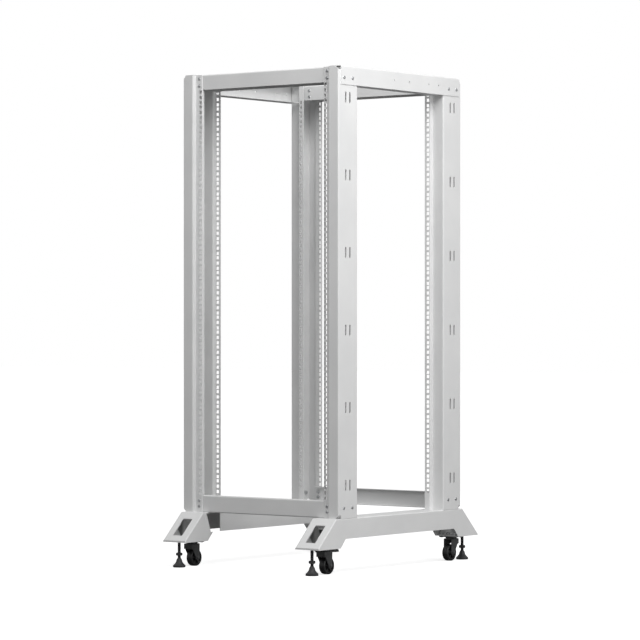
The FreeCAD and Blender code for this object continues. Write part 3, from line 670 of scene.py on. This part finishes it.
def make_wheel():
    """The wheel about the Z axis, from half of its section, which is mirrored."""
    half = [(BORE_RADIUS, HUB_HALF), (HUB_RADIUS - WHEEL_EDGE, HUB_HALF),
            (HUB_RADIUS, HUB_HALF - WHEEL_EDGE), (HUB_RADIUS, WEB_HALF + WEB_FILLET),
            (HUB_RADIUS + WEB_FILLET, WEB_HALF), (RIM_INSIDE - WEB_FILLET, WEB_HALF),
            (RIM_INSIDE, WEB_HALF + WEB_FILLET), (RIM_INSIDE, WHEEL_HALF - WHEEL_EDGE),
            (RIM_INSIDE + WHEEL_EDGE, WHEEL_HALF)]
    for step in range(TREAD_STEPS + 1):
        angle = math.radians(90 - 90 * step / TREAD_STEPS)
        half.append((WHEEL_RADIUS - TREAD_ROUND + TREAD_ROUND * math.cos(angle),
                     WHEEL_HALF - TREAD_ROUND + TREAD_ROUND * math.sin(angle)))
    outline = half + [(radius, -along) for radius, along in reversed(half)] + [half[0]]
    wheel = turned("wheel_pattern", outline, WHEEL_ROUND)
    ribs = []
    length = RIM_INSIDE - HUB_RADIUS + 2 * RIB_ROOT
    middle = HUB_RADIUS + length / 2 - RIB_ROOT
    for number in range(RIB_COUNT):
        angle = math.tau * number / RIB_COUNT
        rib = new_piece("rib", bpy.ops.mesh.primitive_cube_add, size=1,
                        scale=(length, RIB_WIDTH, 2 * RIB_HALF), rotation=(0, 0, angle),
                        location=(middle * math.cos(angle), middle * math.sin(angle), 0))
        use_modifier(rib, "BEVEL", width=RIB_EDGE, segments=1, limit_method="ANGLE")
        ribs.append(rib)
    return combine(wheel, join_pieces("ribs", ribs), "UNION")


wheel_pattern = make_wheel()
for corner, (side, _) in CORNERS.items():
    node = corner + "_castor_wheel"
    wheel = placed_copy(wheel_pattern, node + "_moulding", centre_of(node), (side, 0, 0))
    settle(wheel, wheel_nylon, corner + "_wheel", node)

# Levelling feet
# A bell shaped foot of black plastic, with a groove round its rim, turns together with its
# hexagon and its long threaded screw, which goes up through the weld nut in the sole.
RIM_RADIUS = half_width("rear_right_levelling_foot")
RIM_TOP = 0.0065
RIM_EDGE = 0.0006
SOLE_EDGE = 0.0005
GROOVE_DEPTH = 0.0005
GROOVE_MOUTH = (0.0024, 0.0038)
GROOVE_FLOOR = (0.0028, 0.0034)
BELL_WAIST = (0.0096, 0.0163)
BELL_SHOULDER = (0.008, 0.022)
BELL_CONE_FOOT = (0.0074, 0.0238)
BELL_CONE_TOP = (0.0055, 0.0264)
BELL_NECK = (0.0051, 0.027)
FLARE_POWER = 1.35
FLARE_STEPS = 9
HEX_RADIUS = 0.0098
HEX_HEIGHTS = (0.0346, 0.0428)
THREAD_TOP = reach("rear_right_levelling_foot", "+Z")
THREAD_BOTTOM = 0.0262
THREAD_PITCH = 0.0015
THREAD_CREST = 0.005
THREAD_ROOT = 0.0041
CREST_SHARES = (0.44, 0.56)

foot_plastic = coated_material("foot_plastic", light=(0.05, 0.05, 0.052, 1),
                               dark=(0.038, 0.038, 0.04, 1), rough=(0.35, 0.5),
                               scales=(70.0, 2000.0), depth=0.00004)


def make_bell():
    """The foot's pad: a rim with a groove, a flared skirt, a shoulder and a neck."""
    groove = RIM_RADIUS - GROOVE_DEPTH
    skirt = RIM_RADIUS - RIM_EDGE
    outline = [(0, 0), (RIM_RADIUS - SOLE_EDGE, 0), (RIM_RADIUS, SOLE_EDGE),
               (RIM_RADIUS, GROOVE_MOUTH[0]), (groove, GROOVE_FLOOR[0]),
               (groove, GROOVE_FLOOR[1]), (RIM_RADIUS, GROOVE_MOUTH[1]),
               (RIM_RADIUS, RIM_TOP - RIM_EDGE), (skirt, RIM_TOP)]
    for step in range(1, FLARE_STEPS + 1):
        share = step / FLARE_STEPS
        flare = (skirt - BELL_WAIST[0]) * (1 - share) ** FLARE_POWER
        outline.append((BELL_WAIST[0] + flare, RIM_TOP + (BELL_WAIST[1] - RIM_TOP) * share))
    outline += [BELL_SHOULDER, BELL_CONE_FOOT, BELL_CONE_TOP, BELL_NECK, (0, BELL_NECK[1])]
    return turned("bell", outline, FINE_ROUND)


def make_thread():
    """A screw with a real helical thread, cut flat at both of its ends."""
    crest = [(THREAD_CREST, share * THREAD_PITCH) for share in CREST_SHARES]
    thread = chain("thread", [(THREAD_ROOT, 0), *crest, (THREAD_ROOT, THREAD_PITCH)])
    turns = math.ceil((THREAD_TOP - THREAD_BOTTOM) / THREAD_PITCH) + 2
    use_modifier(thread, "SCREW", angle=math.tau, screw_offset=THREAD_PITCH, iterations=turns,
                 steps=COARSE_ROUND, render_steps=COARSE_ROUND, axis="Z",
                 use_merge_vertices=True)
    close_mesh(thread)
    edit_all(thread)
    bpy.ops.transform.translate(value=(0, 0, THREAD_BOTTOM - THREAD_PITCH))
    for height, way in ((THREAD_BOTTOM, -1), (THREAD_TOP, 1)):
        bpy.ops.mesh.select_all(action="SELECT")
        bpy.ops.mesh.bisect(plane_co=(0, 0, height), plane_no=(0, 0, way), use_fill=True,
                            clear_outer=True)
    bpy.ops.mesh.select_all(action="SELECT")
    bpy.ops.mesh.normals_make_consistent(inside=False)
    bpy.ops.object.mode_set(mode="OBJECT")
    return thread


foot_pieces = [make_bell(), hexagon("hexagon", HEX_RADIUS, *HEX_HEIGHTS), make_thread()]
foot_pattern = join_pieces("foot_pattern", foot_pieces)
for corner in CORNERS:
    node = corner + "_levelling_foot"
    centre = centre_of(node)
    place = (centre.x, centre.y, reach(node, "-Z"))
    foot = placed_copy(foot_pattern, node + "_turning", place)
    settle(foot, foot_plastic, corner + "_foot", node)

for pattern in (screw_pattern, nut_pattern, axle_pattern, wheel_pattern, foot_pattern):
    bpy.data.objects.remove(pattern)
